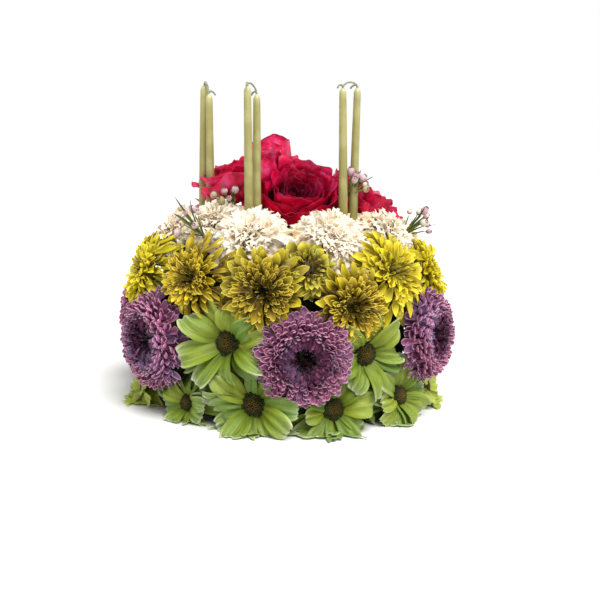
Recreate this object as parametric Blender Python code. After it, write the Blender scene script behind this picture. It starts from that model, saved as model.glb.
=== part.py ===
"""Floral birthday cake with candles.

Fresh flower heads cover a round foam core in the shape of a layer cake: a skirt of green daisies,
a band of purple chrysanthemums and green daisies, a band of yellow chrysanthemums, a ring of cream
carnations, and red roses on top. Three pairs of hand-dipped tapers, each pair still joined by its
wick, stand round the roses, with sprigs of small buds between. Metres, +Z up, front towards -Y,
origin at the middle of the flat foot.
"""

import math
import random

import bmesh
import bpy
from mathutils import Matrix, Vector

# ---------------------------------------------------------------- driving dimensions
GAP = 0.0003  # clearance between neighbouring pieces
FLOOR_CLEARANCE = 0.0004  # petals just clear what the core stands on
SEED = 7

CORE_RADIUS = 0.098
CORE_SHOULDER_Z = 0.086  # where the straight side ends
CORE_TOP_RADIUS = 0.074
CORE_TOP_Z = 0.112
CORE_SIDES = 18

STEM_REACH = 0.060  # each stem runs this far back and is cut off at the core

# A flower: azimuth in degrees (0 is the front, positive to the right), distance of its head from the
# cake's axis, height, head radius, and how far its face is tilted up in degrees.
PURPLE_MUMS = (
    (-50, 0.119, 0.055, 0.0385, 0),
    (6, 0.120, 0.053, 0.0355, 0),
    (58, 0.119, 0.061, 0.0370, 2),
    (108, 0.119, 0.055, 0.0370, 0),
    (158, 0.119, 0.059, 0.0360, 3),
    (208, 0.120, 0.054, 0.0380, 0),
    (258, 0.119, 0.058, 0.0365, 2),
)
SIDE_DAISIES = (
    (-20, 0.114, 0.060, 0.0335, 6),
    (29, 0.114, 0.053, 0.0330, 4),
    (83, 0.114, 0.060, 0.0300, 5),
    (133, 0.114, 0.056, 0.0310, 4),
    (183, 0.114, 0.060, 0.0300, 6),
    (233, 0.114, 0.055, 0.0310, 4),
    (283, 0.114, 0.060, 0.0295, 6),
)
SKIRT_DAISIES = (
    (-67, 0.116, 0.012, 0.0240, 14),
    (-36, 0.116, 0.013, 0.0230, 10),
    (-10, 0.117, 0.019, 0.0325, 12),
    (17, 0.117, 0.016, 0.0300, 12),
    (45, 0.117, 0.019, 0.0290, 12),
    (72, 0.116, 0.014, 0.0245, 14),
    (109, 0.117, 0.018, 0.0300, 12),
    (146, 0.117, 0.017, 0.0300, 10),
    (183, 0.117, 0.019, 0.0310, 12),
    (219, 0.117, 0.017, 0.0300, 12),
    (256, 0.117, 0.018, 0.0295, 12),
)
YELLOW_MUMS = (
    (-69, 0.112, 0.099, 0.0305, 20),
    (-35, 0.112, 0.102, 0.0285, 14),
    (-8, 0.113, 0.097, 0.0310, 8),
    (8, 0.107, 0.111, 0.0200, 24),
    (23, 0.113, 0.087, 0.0310, -2),
    (41, 0.110, 0.107, 0.0310, 26),
    (72, 0.110, 0.103, 0.0300, 22),
    (103, 0.111, 0.099, 0.0305, 16),
    (135, 0.110, 0.104, 0.0300, 22),
    (167, 0.111, 0.099, 0.0310, 14),
    (199, 0.110, 0.104, 0.0295, 22),
    (231, 0.111, 0.099, 0.0305, 16),
    (262, 0.110, 0.103, 0.0300, 20),
)
CARNATIONS = (
    (-19, 0.083, 0.129, 0.0295, 48),
    (22, 0.083, 0.128, 0.0305, 48),
    (61, 0.083, 0.129, 0.0285, 46),
    (102, 0.083, 0.128, 0.0300, 48),
    (146, 0.082, 0.130, 0.0295, 50),
    (190, 0.083, 0.128, 0.0305, 48),
    (236, 0.083, 0.130, 0.0300, 46),
    (281, 0.084, 0.127, 0.0290, 46),
    (311, 0.074, 0.138, 0.0250, 56),
)
ROSES = (
    (12, 0.027, 0.160, 0.0345, 50),
    (-78, 0.038, 0.171, 0.0355, 72),
    (80, 0.058, 0.156, 0.0310, 60),
    (207, 0.042, 0.173, 0.0290, 66),
    (150, 0.050, 0.150, 0.0340, 62),
)
BUD_SPRIGS = (
    (-41, 0.102, 0.139, 0.0130, 40),
    (84, 0.100, 0.137, 0.0120, 40),
    (47, 0.068, 0.164, 0.0120, 60),
    (-44, 0.063, 0.152, 0.0120, 60),
)

# Tapers, in pairs: the foot and the tip of each, and the height of the wick that joins them.
TAPER_FOOT_RADIUS = 0.0037
TAPER_TIP_RADIUS = 0.0026
TAPER_NOSE = 0.004  # length over which the tip rounds off
TAPER_SIDES_RESOLUTION = 2
WICK_RADIUS = 0.0007
WICK_RISE = 0.002
TAPER_PAIRS = (
    (((-0.0588, -0.027), (-0.0612, -0.027, 0.234)), ((-0.0655, -0.020), (-0.0661, -0.020, 0.241))),
    (((-0.0272, -0.062), (-0.0307, -0.062, 0.237)), ((-0.0225, -0.054), (-0.0243, -0.054, 0.232))),
    (((0.0420, -0.052), (0.0376, -0.052, 0.238)), ((0.0484, -0.046), (0.0485, -0.046, 0.239))),
)

# ---------------------------------------------------------------- a fresh collection
for leftover in list(bpy.data.objects):
    bpy.data.objects.remove(leftover, do_unlink=True)
collection = bpy.data.collections.new("floral_birthday_cake")
bpy.context.scene.collection.children.link(collection)
draw = random.Random(SEED)


def finish_material(name, colour, roughness):
    """A plain surface with its own colour and roughness."""
    material = bpy.data.materials.new(name)
    material.use_nodes = True
    shader = material.node_tree.nodes["Principled BSDF"]
    shader.inputs["Base Color"].default_value = (*colour, 1.0)
    shader.inputs["Roughness"].default_value = roughness
    shader.inputs["Metallic"].default_value = 0.0
    return material


FOAM = finish_material("wet_floral_foam", (0.020, 0.060, 0.022), 0.95)
PURPLE = finish_material("purple_mum_petal", (0.260, 0.100, 0.260), 0.60)
YELLOW = finish_material("yellow_mum_petal", (0.620, 0.440, 0.040), 0.60)
GREEN = finish_material("green_daisy_petal", (0.380, 0.520, 0.150), 0.55)
CREAM = finish_material("cream_carnation_petal", (0.820, 0.740, 0.560), 0.65)
RED = finish_material("red_rose_petal", (0.480, 0.005, 0.040), 0.50)
WAX = finish_material("dipped_ivory_wax", (0.560, 0.530, 0.250), 0.35)
BUD = finish_material("pale_bud", (0.600, 0.500, 0.420), 0.60)


def add_piece(name, shape, material):
    """Put a finished mesh or curve into the cake under its own name."""
    shape.materials.append(material)
    piece = bpy.data.objects.new(name, shape)
    collection.objects.link(piece)
    return piece


# ---------------------------------------------------------------- flower heads
def face_outward(bm):
    """Turn all the faces of a closed solid outward."""
    bmesh.ops.recalc_face_normals(bm, faces=bm.faces)
    if bm.calc_volume(signed=True) < 0:
        bmesh.ops.reverse_faces(bm, faces=bm.faces)


def spun_solid(profile, steps):
    """A closed solid turned about Z from (radius, height) points that start and end on the axis."""
    bm = bmesh.new()
    points = [bm.verts.new((radius, 0.0, height)) for radius, height in profile]
    chain = [bm.edges.new(pair) for pair in zip(points, points[1:])]
    bmesh.ops.spin(
        bm, geom=points + chain, cent=(0, 0, 0), axis=(0, 0, 1), angle=math.tau, steps=steps, use_merge=True
    )
    bmesh.ops.remove_doubles(bm, verts=bm.verts, dist=1e-6)
    face_outward(bm)
    return bm


def lobe(bm, petals, inner, outer, notch, sweep=0.0):
    """Draw the surface between two radii in and out into petals, and sweep its tips forward."""
    for vert in bm.verts:
        radius = math.hypot(vert.co.x, vert.co.y)
        share = min(max((radius - inner) / (outer - inner), 0.0), 1.0)
        if share == 0.0:
            continue
        turn = math.atan2(vert.co.y, vert.co.x)
        between = 0.5 - 0.5 * math.cos(turn * petals)
        pull = 1.0 - notch * share * between
        vert.co.x *= pull
        vert.co.y *= pull
        vert.co.z += sweep * share * (1.0 - between) * outer


def ruffle(bm, depth, radius):
    """Push every free point in or out a little, as crimped petals do."""
    for vert in bm.verts:
        if vert.co.z > -0.45 * radius:
            vert.co *= 1.0 + draw.uniform(-depth, depth)


def mum_head(radius):
    """A full double chrysanthemum: a ring of short petals round a sunken eye."""
    bm = spun_solid(
        (
            (0.0, 0.08 * radius),
            (0.17 * radius, 0.14 * radius),
            (0.44 * radius, 0.42 * radius),
            (0.76 * radius, 0.34 * radius),
            (1.00 * radius, 0.02 * radius),
            (0.12 * radius, -0.42 * radius),
            (0.0, -STEM_REACH),
        ),
        14,
    )
    lobe(bm, 7, 0.2 * radius, radius, 0.10)
    return bm


def loose_mum_head(radius):
    """A half-open chrysanthemum: long petals round a shallow eye."""
    bm = spun_solid(
        (
            (0.0, 0.06 * radius),
            (0.30 * radius, 0.26 * radius),
            (0.68 * radius, 0.26 * radius),
            (1.00 * radius, 0.02 * radius),
            (0.45 * radius, -0.24 * radius),
            (0.11 * radius, -0.38 * radius),
            (0.0, -STEM_REACH),
        ),
        12,
    )
    lobe(bm, 6, 0.3 * radius, radius, 0.22)
    return bm


def daisy_head(radius):
    """A single daisy: one wheel of flat petals, cupped forward, round a button."""
    bm = spun_solid(
        (
            (0.0, 0.16 * radius),
            (0.24 * radius, 0.08 * radius),
            (1.00 * radius, 0.10 * radius),
            (0.20 * radius, -0.16 * radius),
            (0.0, -STEM_REACH),
        ),
        16,
    )
    lobe(bm, 8, 0.3 * radius, radius, 0.36, sweep=0.12)
    return bm


def carnation_head(radius):
    """A carnation: a ball of crimped petals over a tight green calyx."""
    bm = spun_solid(
        (
            (0.0, 0.52 * radius),
            (0.36 * radius, 0.50 * radius),
            (0.76 * radius, 0.34 * radius),
            (1.00 * radius, 0.02 * radius),
            (0.74 * radius, -0.30 * radius),
            (0.16 * radius, -0.50 * radius),
            (0.0, -STEM_REACH),
        ),
        10,
    )
    ruffle(bm, 0.05, radius)
    return bm


def rose_head(radius):
    """An open rose: rings of upright petals that step down to the broad outer ones."""
    bm = spun_solid(
        (
            (0.0, 0.26 * radius),
            (0.14 * radius, 0.44 * radius),
            (0.34 * radius, 0.50 * radius),
            (0.40 * radius, 0.32 * radius),
            (0.64 * radius, 0.42 * radius),
            (0.72 * radius, 0.20 * radius),
            (1.00 * radius, 0.16 * radius),
            (0.66 * radius, -0.34 * radius),
            (0.16 * radius, -0.52 * radius),
            (0.0, -STEM_REACH),
        ),
        12,
    )
    lobe(bm, 6, 0.5 * radius, radius, 0.16, sweep=0.05)
    return bm


def sprig_head(radius):
    """A sprig of small round buds, out to its lumpy outline."""
    bm = spun_solid(
        (
            (0.0, 0.95 * radius),
            (0.75 * radius, 0.60 * radius),
            (0.95 * radius, -0.20 * radius),
            (0.30 * radius, -0.90 * radius),
            (0.0, -STEM_REACH),
        ),
        10,
    )
    lobe(bm, 5, 0.2 * radius, radius, 0.22)
    return bm


# ---------------------------------------------------------------- placing and fitting together
def direction(azimuth, tilt):
    """The unit vector that faces an azimuth and is tilted up from level, both in degrees."""
    around = math.radians(azimuth)
    up = math.radians(tilt)
    return Vector((math.cos(up) * math.sin(around), -math.cos(up) * math.cos(around), math.sin(up)))


def trim(bm, point, normal):
    """Cut off what lies beyond a plane and close the cut."""
    cut = bmesh.ops.bisect_plane(
        bm,
        geom=bm.verts[:] + bm.edges[:] + bm.faces[:],
        dist=1e-7,
        plane_co=point,
        plane_no=normal,
        clear_outer=True,
    )
    rim = [item for item in cut["geom_cut"] if isinstance(item, bmesh.types.BMEdge)]
    if rim:
        bmesh.ops.triangle_fill(bm, use_beauty=True, edges=rim, normal=normal)


def core_plane(centre, azimuth):
    """The face of the core that a head stands off from: its side, its sloping shoulder or its top."""
    outward = direction(azimuth, 0)
    fall = math.atan2(CORE_RADIUS - CORE_TOP_RADIUS, CORE_TOP_Z - CORE_SHOULDER_Z)
    shoulder = outward * math.cos(fall) + Vector((0, 0, math.sin(fall)))
    planes = (
        (outward * CORE_RADIUS, outward),
        (outward * CORE_TOP_RADIUS + Vector((0, 0, CORE_TOP_Z)), shoulder),
        (Vector((0, 0, CORE_TOP_Z)), Vector((0, 0, 1))),
    )
    return max(planes, key=lambda plane: (centre - plane[0]).dot(plane[1]))


class Head:
    """One flower or sprig: its node name, place, facing, size and the function that shapes it."""

    def __init__(self, name, row, shape, material):
        azimuth, reach, height, radius, tilt = row
        self.name = name
        self.azimuth = azimuth
        self.radius = radius
        self.facing = direction(azimuth, tilt)
        self.centre = direction(azimuth, 0) * reach + Vector((0, 0, height))
        self.shape = shape
        self.material = material

    def build(self, others, tapers):
        bm = self.shape(self.radius)
        spin = Matrix.Rotation(draw.uniform(0, math.tau), 4, "Z")
        turn = self.facing.to_track_quat("Z", "Y").to_matrix().to_4x4()
        bm.transform(Matrix.Translation(self.centre) @ turn @ spin)
        point, normal = core_plane(self.centre, self.azimuth)
        trim(bm, point + normal * GAP, -normal)
        trim(bm, Vector((0, 0, FLOOR_CLEARANCE)), Vector((0, 0, -1)))
        for other in others:
            self.keep_clear_of_head(bm, other)
        for taper in tapers:
            self.keep_clear_of_taper(bm, taper)
        bmesh.ops.remove_doubles(bm, verts=bm.verts, dist=1e-5)
        bmesh.ops.dissolve_degenerate(bm, dist=1e-5, edges=bm.edges)
        face_outward(bm)
        mesh = bpy.data.meshes.new(self.name)
        bm.to_mesh(mesh)
        bm.free()
        mesh.shade_smooth()
        mesh.set_sharp_from_angle(angle=math.radians(50))
        return add_piece(self.name, mesh, self.material)

    def keep_clear_of_head(self, bm, other):
        """Share the room between two heads by a plane, each keeping its part by its radius."""
        apart = other.centre - self.centre
        share = apart.length * self.radius / (self.radius + other.radius)
        normal = apart.normalized()
        trim(bm, self.centre + normal * (share - GAP / 2), normal)

    def keep_clear_of_taper(self, bm, taper):
        """Stay on this head's own side of an upright taper."""
        foot, tip = taper
        across = min(
            (Vector((x, y, 0)) - Vector((self.centre.x, self.centre.y, 0)) for x, y, *_ in (foot, tip)),
            key=lambda step: step.length,
        )
        if across.length < 2 * self.radius:
            normal = across.normalized()
            room = across.length - TAPER_FOOT_RADIUS - GAP
            trim(bm, self.centre + normal * room, normal)


HEAD_KINDS = (
    ("purple_mum", PURPLE_MUMS, mum_head, PURPLE),
    ("side_daisy", SIDE_DAISIES, daisy_head, GREEN),
    ("skirt_daisy", SKIRT_DAISIES, daisy_head, GREEN),
    ("yellow_mum", YELLOW_MUMS, loose_mum_head, YELLOW),
    ("carnation", CARNATIONS, carnation_head, CREAM),
    ("rose", ROSES, rose_head, RED),
    ("bud_sprig", BUD_SPRIGS, sprig_head, BUD),
)
heads = [
    Head(f"{name}_{number}", row, shape, material)
    for name, rows, shape, material in HEAD_KINDS
    for number, row in enumerate(rows, start=1)
]
tapers = [taper for pair in TAPER_PAIRS for taper in pair]
for head in heads:
    head.build([other for other in heads if other is not head], tapers)

# ---------------------------------------------------------------- the core
core = spun_solid(
    (
        (0.0, CORE_TOP_Z),
        (CORE_TOP_RADIUS, CORE_TOP_Z),
        (CORE_RADIUS, CORE_SHOULDER_Z),
        (CORE_RADIUS, 0.0),
        (0.0, 0.0),
    ),
    CORE_SIDES,
)
core_mesh = bpy.data.meshes.new("foam_core")
core.to_mesh(core_mesh)
core.free()
core_mesh.shade_smooth()
core_mesh.set_sharp_from_angle(angle=math.radians(30))
add_piece("foam_core", core_mesh, FOAM)


# ---------------------------------------------------------------- the tapers
def taper_pair(name, pair):
    """Two dipped tapers and the wick between their tips, as one tube whose radius changes."""
    (near_foot, near_tip), (far_foot, far_tip) = pair
    foot_z = CORE_TOP_Z + GAP
    near = (Vector((*near_foot, foot_z)), Vector(near_tip))
    far = (Vector((*far_foot, foot_z)), Vector(far_tip))
    nose = Vector((0, 0, TAPER_NOSE))
    lift = Vector((0, 0, WICK_RISE))
    arch = [
        (near[1].lerp(far[1], share) + lift * math.sin(math.pi * share), WICK_RADIUS)
        for share in (0.0, 0.3, 0.7, 1.0)
    ]
    route = [
        (near[0], TAPER_FOOT_RADIUS),
        (near[1] - nose, TAPER_TIP_RADIUS),
        (near[1] - nose * 0.3, TAPER_TIP_RADIUS * 0.75),
        *arch,
        (far[1] - nose * 0.3, TAPER_TIP_RADIUS * 0.75),
        (far[1] - nose, TAPER_TIP_RADIUS),
        (far[0], TAPER_FOOT_RADIUS),
    ]
    curve = bpy.data.curves.new(name, "CURVE")
    curve.dimensions = "3D"
    curve.bevel_depth = 1.0
    curve.bevel_resolution = TAPER_SIDES_RESOLUTION
    curve.use_fill_caps = True
    spline = curve.splines.new("POLY")
    spline.points.add(len(route) - 1)
    for point, (place, radius) in zip(spline.points, route):
        point.co = (*place, 1.0)
        point.radius = radius
    return add_piece(name, curve, WAX)


for number, pair in enumerate(TAPER_PAIRS, start=1):
    taper_pair(f"taper_pair_{number}", pair)
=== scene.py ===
"""Looks of the floral birthday cake: every flower, leaf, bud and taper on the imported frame.

Everything is in metres in the frame's own coordinates, +Z up, front towards -Y.
"""

import math
import random

import bmesh
import bpy
from mathutils import Matrix, Vector


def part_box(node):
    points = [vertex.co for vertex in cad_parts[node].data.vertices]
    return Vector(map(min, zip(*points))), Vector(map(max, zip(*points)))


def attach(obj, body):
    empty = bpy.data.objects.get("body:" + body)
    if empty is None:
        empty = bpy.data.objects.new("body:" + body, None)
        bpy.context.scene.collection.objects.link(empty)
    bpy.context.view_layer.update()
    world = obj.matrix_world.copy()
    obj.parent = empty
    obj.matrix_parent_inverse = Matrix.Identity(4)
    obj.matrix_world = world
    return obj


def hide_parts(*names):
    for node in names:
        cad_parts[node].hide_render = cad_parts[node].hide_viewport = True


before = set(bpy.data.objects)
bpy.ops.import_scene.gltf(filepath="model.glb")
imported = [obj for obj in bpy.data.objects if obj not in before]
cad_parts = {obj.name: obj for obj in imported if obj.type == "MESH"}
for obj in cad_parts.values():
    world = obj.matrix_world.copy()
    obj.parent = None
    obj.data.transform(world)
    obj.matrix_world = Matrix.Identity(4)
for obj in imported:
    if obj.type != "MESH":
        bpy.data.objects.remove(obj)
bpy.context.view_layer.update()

# ---------------------------------------------------------------- foam core
# The hidden heart of the cake: a turned block of wet floral foam, a fine crushed phenolic foam that
# holds the stems. It is cut with a knife, so its skin is matt, dusty and full of tiny open cells.
MM = 0.001
FOAM_SKIN = 0.6 * MM  # the piece stays this far inside the solid it stands for
FOAM_DENT = 0.8 * MM
FOAM_CELL = 1.5 * MM
CORE_FLAT = 0.74  # share of the radius where the flat top ends
CORE_SIDE = 0.98
CORE_STEPS = 48
WELD = 1e-6
SMOOTH_UNDER = math.radians(62)
SEED = 11


def linear(hex_colour):
    """An sRGB hex colour as linear red, green, blue and an alpha of 1."""
    parts = [int(hex_colour[at : at + 2], 16) / 255 for at in (1, 3, 5)]
    return (*((c / 12.92 if c <= 0.04045 else ((c + 0.055) / 1.055) ** 2.4) for c in parts), 1.0)


def node(tree, kind, inputs=None, stops=None, out=0, **settings):
    """Add a shader node, set or link its inputs, give its ramp its stops, and return one output."""
    made = tree.nodes.new(kind)
    for key, value in settings.items():
        setattr(made, key, value)
    if stops:
        ramp = made.color_ramp.elements
        for stop, (place, colour) in zip((ramp[0], ramp[-1]), (stops[0], stops[-1])):
            stop.position = place
            stop.color = linear(colour)
        for place, colour in stops[1:-1]:
            ramp.new(place).color = linear(colour)
    for key, value in (inputs or {}).items():
        if isinstance(value, bpy.types.NodeSocket):
            tree.links.new(value, made.inputs[key])
        else:
            made.inputs[key].default_value = value
    return made.outputs[out]


def start_material(name, roughness, **sockets):
    """A material whose Principled shader has these settings; gives it and its node tree."""
    material = bpy.data.materials.new(name)
    material.use_nodes = True
    shader = material.node_tree.nodes["Principled BSDF"]
    shader.inputs["Roughness"].default_value = roughness
    for socket, value in sockets.items():
        shader.inputs[socket.replace("_", " ")].default_value = value
    return material, material.node_tree


def faced(material, colour, height, strength, depth):
    """Link the finished colour to a material's shader, and a relief of some depth."""
    tree = material.node_tree
    shader = tree.nodes["Principled BSDF"]
    bump = node(tree, "ShaderNodeBump", {"Height": height, "Strength": strength, "Distance": depth})
    tree.links.new(colour, shader.inputs["Base Color"])
    tree.links.new(bump, shader.inputs["Normal"])
    return material


def wet_floral_foam():
    """Phenolic floral foam, dark with water: its cells are drawn coarse enough to show."""
    material, tree = start_material("wet_floral_foam", 0.95, Specular_IOR_Level=0.2)
    place = node(tree, "ShaderNodeTexCoord", out="Object")
    cells = node(tree, "ShaderNodeTexNoise", {"Vector": place, "Scale": 1 / FOAM_CELL, "Detail": 3.0})
    shade = node(tree, "ShaderNodeValToRGB", {"Fac": cells}, stops=((0.3, "#0a1206"), (0.7, "#1f2c12")))
    return faced(material, shade, cells, 0.7, 0.4 * MM)


def finish_piece(name, bm, material, slot, *nodes):
    """Make the finished mesh a piece that rides on the cake and stands for its nodes."""
    mesh = bpy.data.meshes.new(name)
    bm.to_mesh(mesh)
    bm.free()
    mesh.shade_smooth()
    mesh.set_sharp_from_angle(angle=SMOOTH_UNDER)
    mesh.materials.append(material)
    piece = bpy.data.objects.new(name, mesh)
    bpy.context.scene.collection.objects.link(piece)
    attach(piece, "root")
    if nodes:
        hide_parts(*nodes)


def spun(profile, steps):
    """A closed solid turned about Z from (radius, height) points that start and end on the axis."""
    bm = bmesh.new()
    points = [bm.verts.new((radius, 0.0, height)) for radius, height in profile]
    chain = [bm.edges.new(pair) for pair in zip(points, points[1:])]
    bmesh.ops.spin(
        bm, geom=points + chain, cent=(0, 0, 0), axis=(0, 0, 1), angle=math.tau, steps=steps, use_merge=True
    )
    bmesh.ops.remove_doubles(bm, verts=bm.verts, dist=WELD)
    bmesh.ops.recalc_face_normals(bm, faces=bm.faces)
    return bm


def corner_key(corner):
    """A corner's place to the nearest micrometre, the same for every facet that meets there."""
    return tuple(round(c, 6) for c in corner)


draw = random.Random(SEED)
core_low, core_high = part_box("foam_core")
core_radius = core_high.x - FOAM_SKIN
core_top = core_high.z - FOAM_SKIN
shoulder = 0.75 * core_top
core_bm = spun(
    (
        (0.0, core_top),
        (CORE_FLAT * core_radius, core_top),
        (0.78 * core_radius, core_top - 1.5 * MM),
        (CORE_SIDE * core_radius, shoulder),
        (CORE_SIDE * core_radius, 0.5 * shoulder),
        (CORE_SIDE * core_radius, core_low.z),
        (0.0, core_low.z),
    ),
    CORE_STEPS,
)
bmesh.ops.subdivide_edges(core_bm, edges=core_bm.edges, cuts=1, use_grid_fill=True)
# Subdivision numbers its corners differently in each run, so they are taken by their places.
for vert in sorted(core_bm.verts, key=lambda vert: corner_key(vert.co)):
    if vert.co.z > core_low.z + FOAM_SKIN:
        vert.co += Vector((draw.uniform(-1, 1), draw.uniform(-1, 1), draw.uniform(-1, 0))) * FOAM_DENT
finish_piece("foam_block", core_bm, wet_floral_foam(), "foam", "foam_core")

# ---------------------------------------------------------------- backing leaves
# Small lobed chrysanthemum leaves left on the stems behind the heads. They are fresh, matt and dark,
# and they close the gaps between the heads, standing off the foam at all angles.
LEAF_THICKNESS = 0.35 * MM
LEAF_COUNT = 520
LEAVES_ON_TOP = 90
LEAF_LENGTH = (20.0 * MM, 32.0 * MM)
LEAF_STANDOFF = 15.0 * MM  # a leaf's tip stands no further than this off the core's side
SHOULDER_STANDOFF = 22.0 * MM  # or than this off its shoulder
LEAF_HALF_WIDTH = 5.4 * MM
LEAF_ROOT = 0.97  # share of the core's radius where the leaves spring
SHOULDER_SLOPE = 0.22  # how far the shoulder draws in, as a share of the radius
PLATE_CLEARANCE = 0.8 * MM
PLATE_RIPPLE = 0.4 * MM
GOLDEN_TURN = math.radians(137.508)
GOLDEN_SHARE = 0.6180339


def marks_on(bm):
    """The two marks that a material reads: (across, along, tone) on its petal, and the petal's ring."""
    vectors, floats = bm.verts.layers.float_vector, bm.verts.layers.float
    if "petal" not in vectors:
        vectors.new("petal")
        floats.new("ring")
    return vectors["petal"], floats["ring"]


def blank_petals(count, across, along):
    """Flat petal blanks in one mesh: x runs from -1 to 1 across a petal, y from 0 to 1 along it."""
    bm = bmesh.new()
    marks_on(bm)
    flat = Matrix.Translation((0, 0.5, 0)) @ Matrix.Diagonal((1, 0.5, 1, 1))
    bmesh.ops.create_grid(bm, x_segments=across, y_segments=along, size=1, matrix=flat)
    faces = len(bm.faces)
    made = 1
    while made < count:
        more = min(made, count - made)
        bm.faces.ensure_lookup_table()
        bmesh.ops.duplicate(bm, geom=bm.faces[: more * faces])
        made += more
    return bm


def shaped_blanks(count, across, along, petal):
    """Blanks that each have the shape, the ring and the tone that petal(number) returns."""
    bm = blank_petals(count, across, along)
    mark, ring_mark = marks_on(bm)
    bm.verts.ensure_lookup_table()
    size = len(bm.verts) // count
    for number in range(count):
        place, ring, tone = petal(number)
        for vert in bm.verts[number * size : (number + 1) * size]:
            u, v = vert.co.x, vert.co.y
            vert[mark] = (0.5 + 0.5 * u, v, tone)
            vert[ring_mark] = ring
            vert.co = place(u, v)
    return bm


def shaped_petals(count, across, along, thickness, petal):
    """Shaped blanks thickened into petals."""
    bm = shaped_blanks(count, across, along, petal)
    bmesh.ops.solidify(bm, geom=bm.faces[:], thickness=thickness)
    return bm


def facing_frame(origin, way):
    """A frame at a point, with Z along a way and Y as nearly up as can be."""
    return Matrix.Translation(origin) @ way.to_track_quat("Z", "Y").to_matrix().to_4x4()


def heading(angle):
    """A step at an angle above level, as (radius, height)."""
    return Vector((math.cos(angle), math.sin(angle)))


def on_curve(line, v):
    """A point on the Bezier curve of four points, and the way that the curve runs there."""
    a, b, c, d = line
    w = 1 - v
    spot = a * w**3 + b * (3 * w * w * v) + c * (3 * w * v * v) + d * v**3
    return spot, (b - a) * (w * w) + (c - b) * (2 * w * v) + (d - c) * (v * v)


def petal_on(head, turn, middle, half, outline, curl, roll=0.0, twist=0.0, bend=None):
    """One petal of a head: middle line, half width, outline, curl of its sides, roll, twist and bend."""
    turned = head @ Matrix.Rotation(turn, 4, "Z")

    def place(u, v):
        v = 1 - (1 - v) ** 1.35  # rows lie closer near the tip
        spot, run = on_curve(middle, v)
        side = Vector((-run.y, run.x)).normalized()
        wide = half * outline(v)
        arc = curl(v) or 0.01
        across = wide * math.sin(arc * u) / arc
        lift = wide * (1 - math.cos(arc * u)) / arc
        if bend:
            lift += bend(u, v)
        over, level = math.sin(roll + twist * v), math.cos(roll + twist * v)
        across, lift = across * level - lift * over, across * over + lift * level
        return turned @ Vector((spot.x + side.x * lift, across, spot.y + side.y * lift))

    return place


def petal_marks(tree):
    """Where on its petal a point lies: across, along, the petal's tone, its ring."""
    mark = node(tree, "ShaderNodeAttribute", out="Vector", attribute_name="petal")
    parts = node(tree, "ShaderNodeSeparateXYZ", {"Vector": mark}).node.outputs
    ring = node(tree, "ShaderNodeAttribute", out="Fac", attribute_name="ring")
    return parts["X"], parts["Y"], parts["Z"], ring


def share_of(tree, *factors):
    """The product of factors, each a mark or number, or (mark, low, high, share at low, share at high)."""
    whole = None
    for factor in factors:
        if isinstance(factor, tuple):
            keys = ("Value", "From Min", "From Max", "To Min", "To Max")
            span = dict(zip(keys, factor))
            factor = node(tree, "ShaderNodeMapRange", span, interpolation_type="SMOOTHSTEP")
        if whole is None:
            whole = factor
        else:
            whole = node(tree, "ShaderNodeMath", {0: whole, 1: factor}, operation="MULTIPLY")
    return whole


def coated(tree, body, colour, *factors):
    """Lay a colour over the body colour, by the share that the factors give. Each is a hex or a socket."""
    body, colour = (linear(c) if isinstance(c, str) else c for c in (body, colour))
    colours = {0: share_of(tree, *factors), 6: body, 7: colour}
    return node(tree, "ShaderNodeMix", colours, out=2, data_type="RGBA")


def off_middle(tree, across):
    """How far a point lies from its petal's middle line, up to 0.5 at the sides."""
    signed = node(tree, "ShaderNodeMath", {0: across, 1: 0.5}, operation="SUBTRACT")
    return node(tree, "ShaderNodeMath", {0: signed}, operation="ABSOLUTE")


def ribs(tree, across, along, count):
    """Fine lengthwise ribs on a petal, a wave across it that wanders a little along it."""
    slow = node(tree, "ShaderNodeMath", {0: along, 1: 0.12}, operation="MULTIPLY")
    place = node(tree, "ShaderNodeCombineXYZ", {"X": across, "Y": slow})
    return node(tree, "ShaderNodeTexNoise", {"Vector": place, "Scale": count, "Detail": 2.0})


def above_plate(place):
    """Bend a petal that would dip into the plate, so that the rest of it lies outward along the plate."""

    def resting(u, v):
        point = place(u, v)
        short = PLATE_CLEARANCE - point.z
        if short <= 0:
            return point
        outward = Vector((point.x, point.y, 0)).normalized()
        ripple = PLATE_RIPPLE * (1 + math.sin(9 * v + 3 * u))
        return Vector((point.x, point.y, PLATE_CLEARANCE + ripple + 0.12 * short)) + outward * (0.75 * short)

    return resting


def leaf_green():
    """Living chrysanthemum leaf: matt, faintly waxy dark green with a paler midrib."""
    material, tree = start_material("chrysanthemum_leaf", 0.55, Specular_IOR_Level=0.35)
    across, along, tone, ring = petal_marks(tree)
    body = node(
        tree,
        "ShaderNodeValToRGB",
        {"Fac": tone},
        stops=((0.0, "#18220e"), (0.45, "#2c3d17"), (0.7, "#566c24"), (1.0, "#8c9c4c")),
    )
    low = coated(tree, "#4f6a26", "#93a95a", (tone, 0.2, 0.9, 0.0, 1.0))
    high = coated(tree, "#4a4a12", "#9c9338", (tone, 0.2, 0.9, 0.0, 1.0))
    body = coated(tree, body, low, (ring, 0.40, 0.15, 0.0, 1.0))
    body = coated(tree, body, high, (ring, 0.62, 0.75, 0.0, 0.8))
    body = coated(tree, body, "#8f9f58", (off_middle(tree, across), 0.06, 0.0, 0.0, 1.0), 0.4)
    return faced(material, body, ribs(tree, across, along, 9.0), 1.0, 0.3 * MM)


def leaf_outline(v):
    """Half width of a lobed leaf."""
    swell = 0.25 + 0.75 * math.sin(math.pi * min(v / 0.55, 1.0) / 2)
    taper = 1 - 0.93 * max((v - 0.55) / 0.45, 0) ** 1.4
    return swell * taper * (1 - 0.22 * (0.5 - 0.5 * math.cos(v * 21)))


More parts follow.
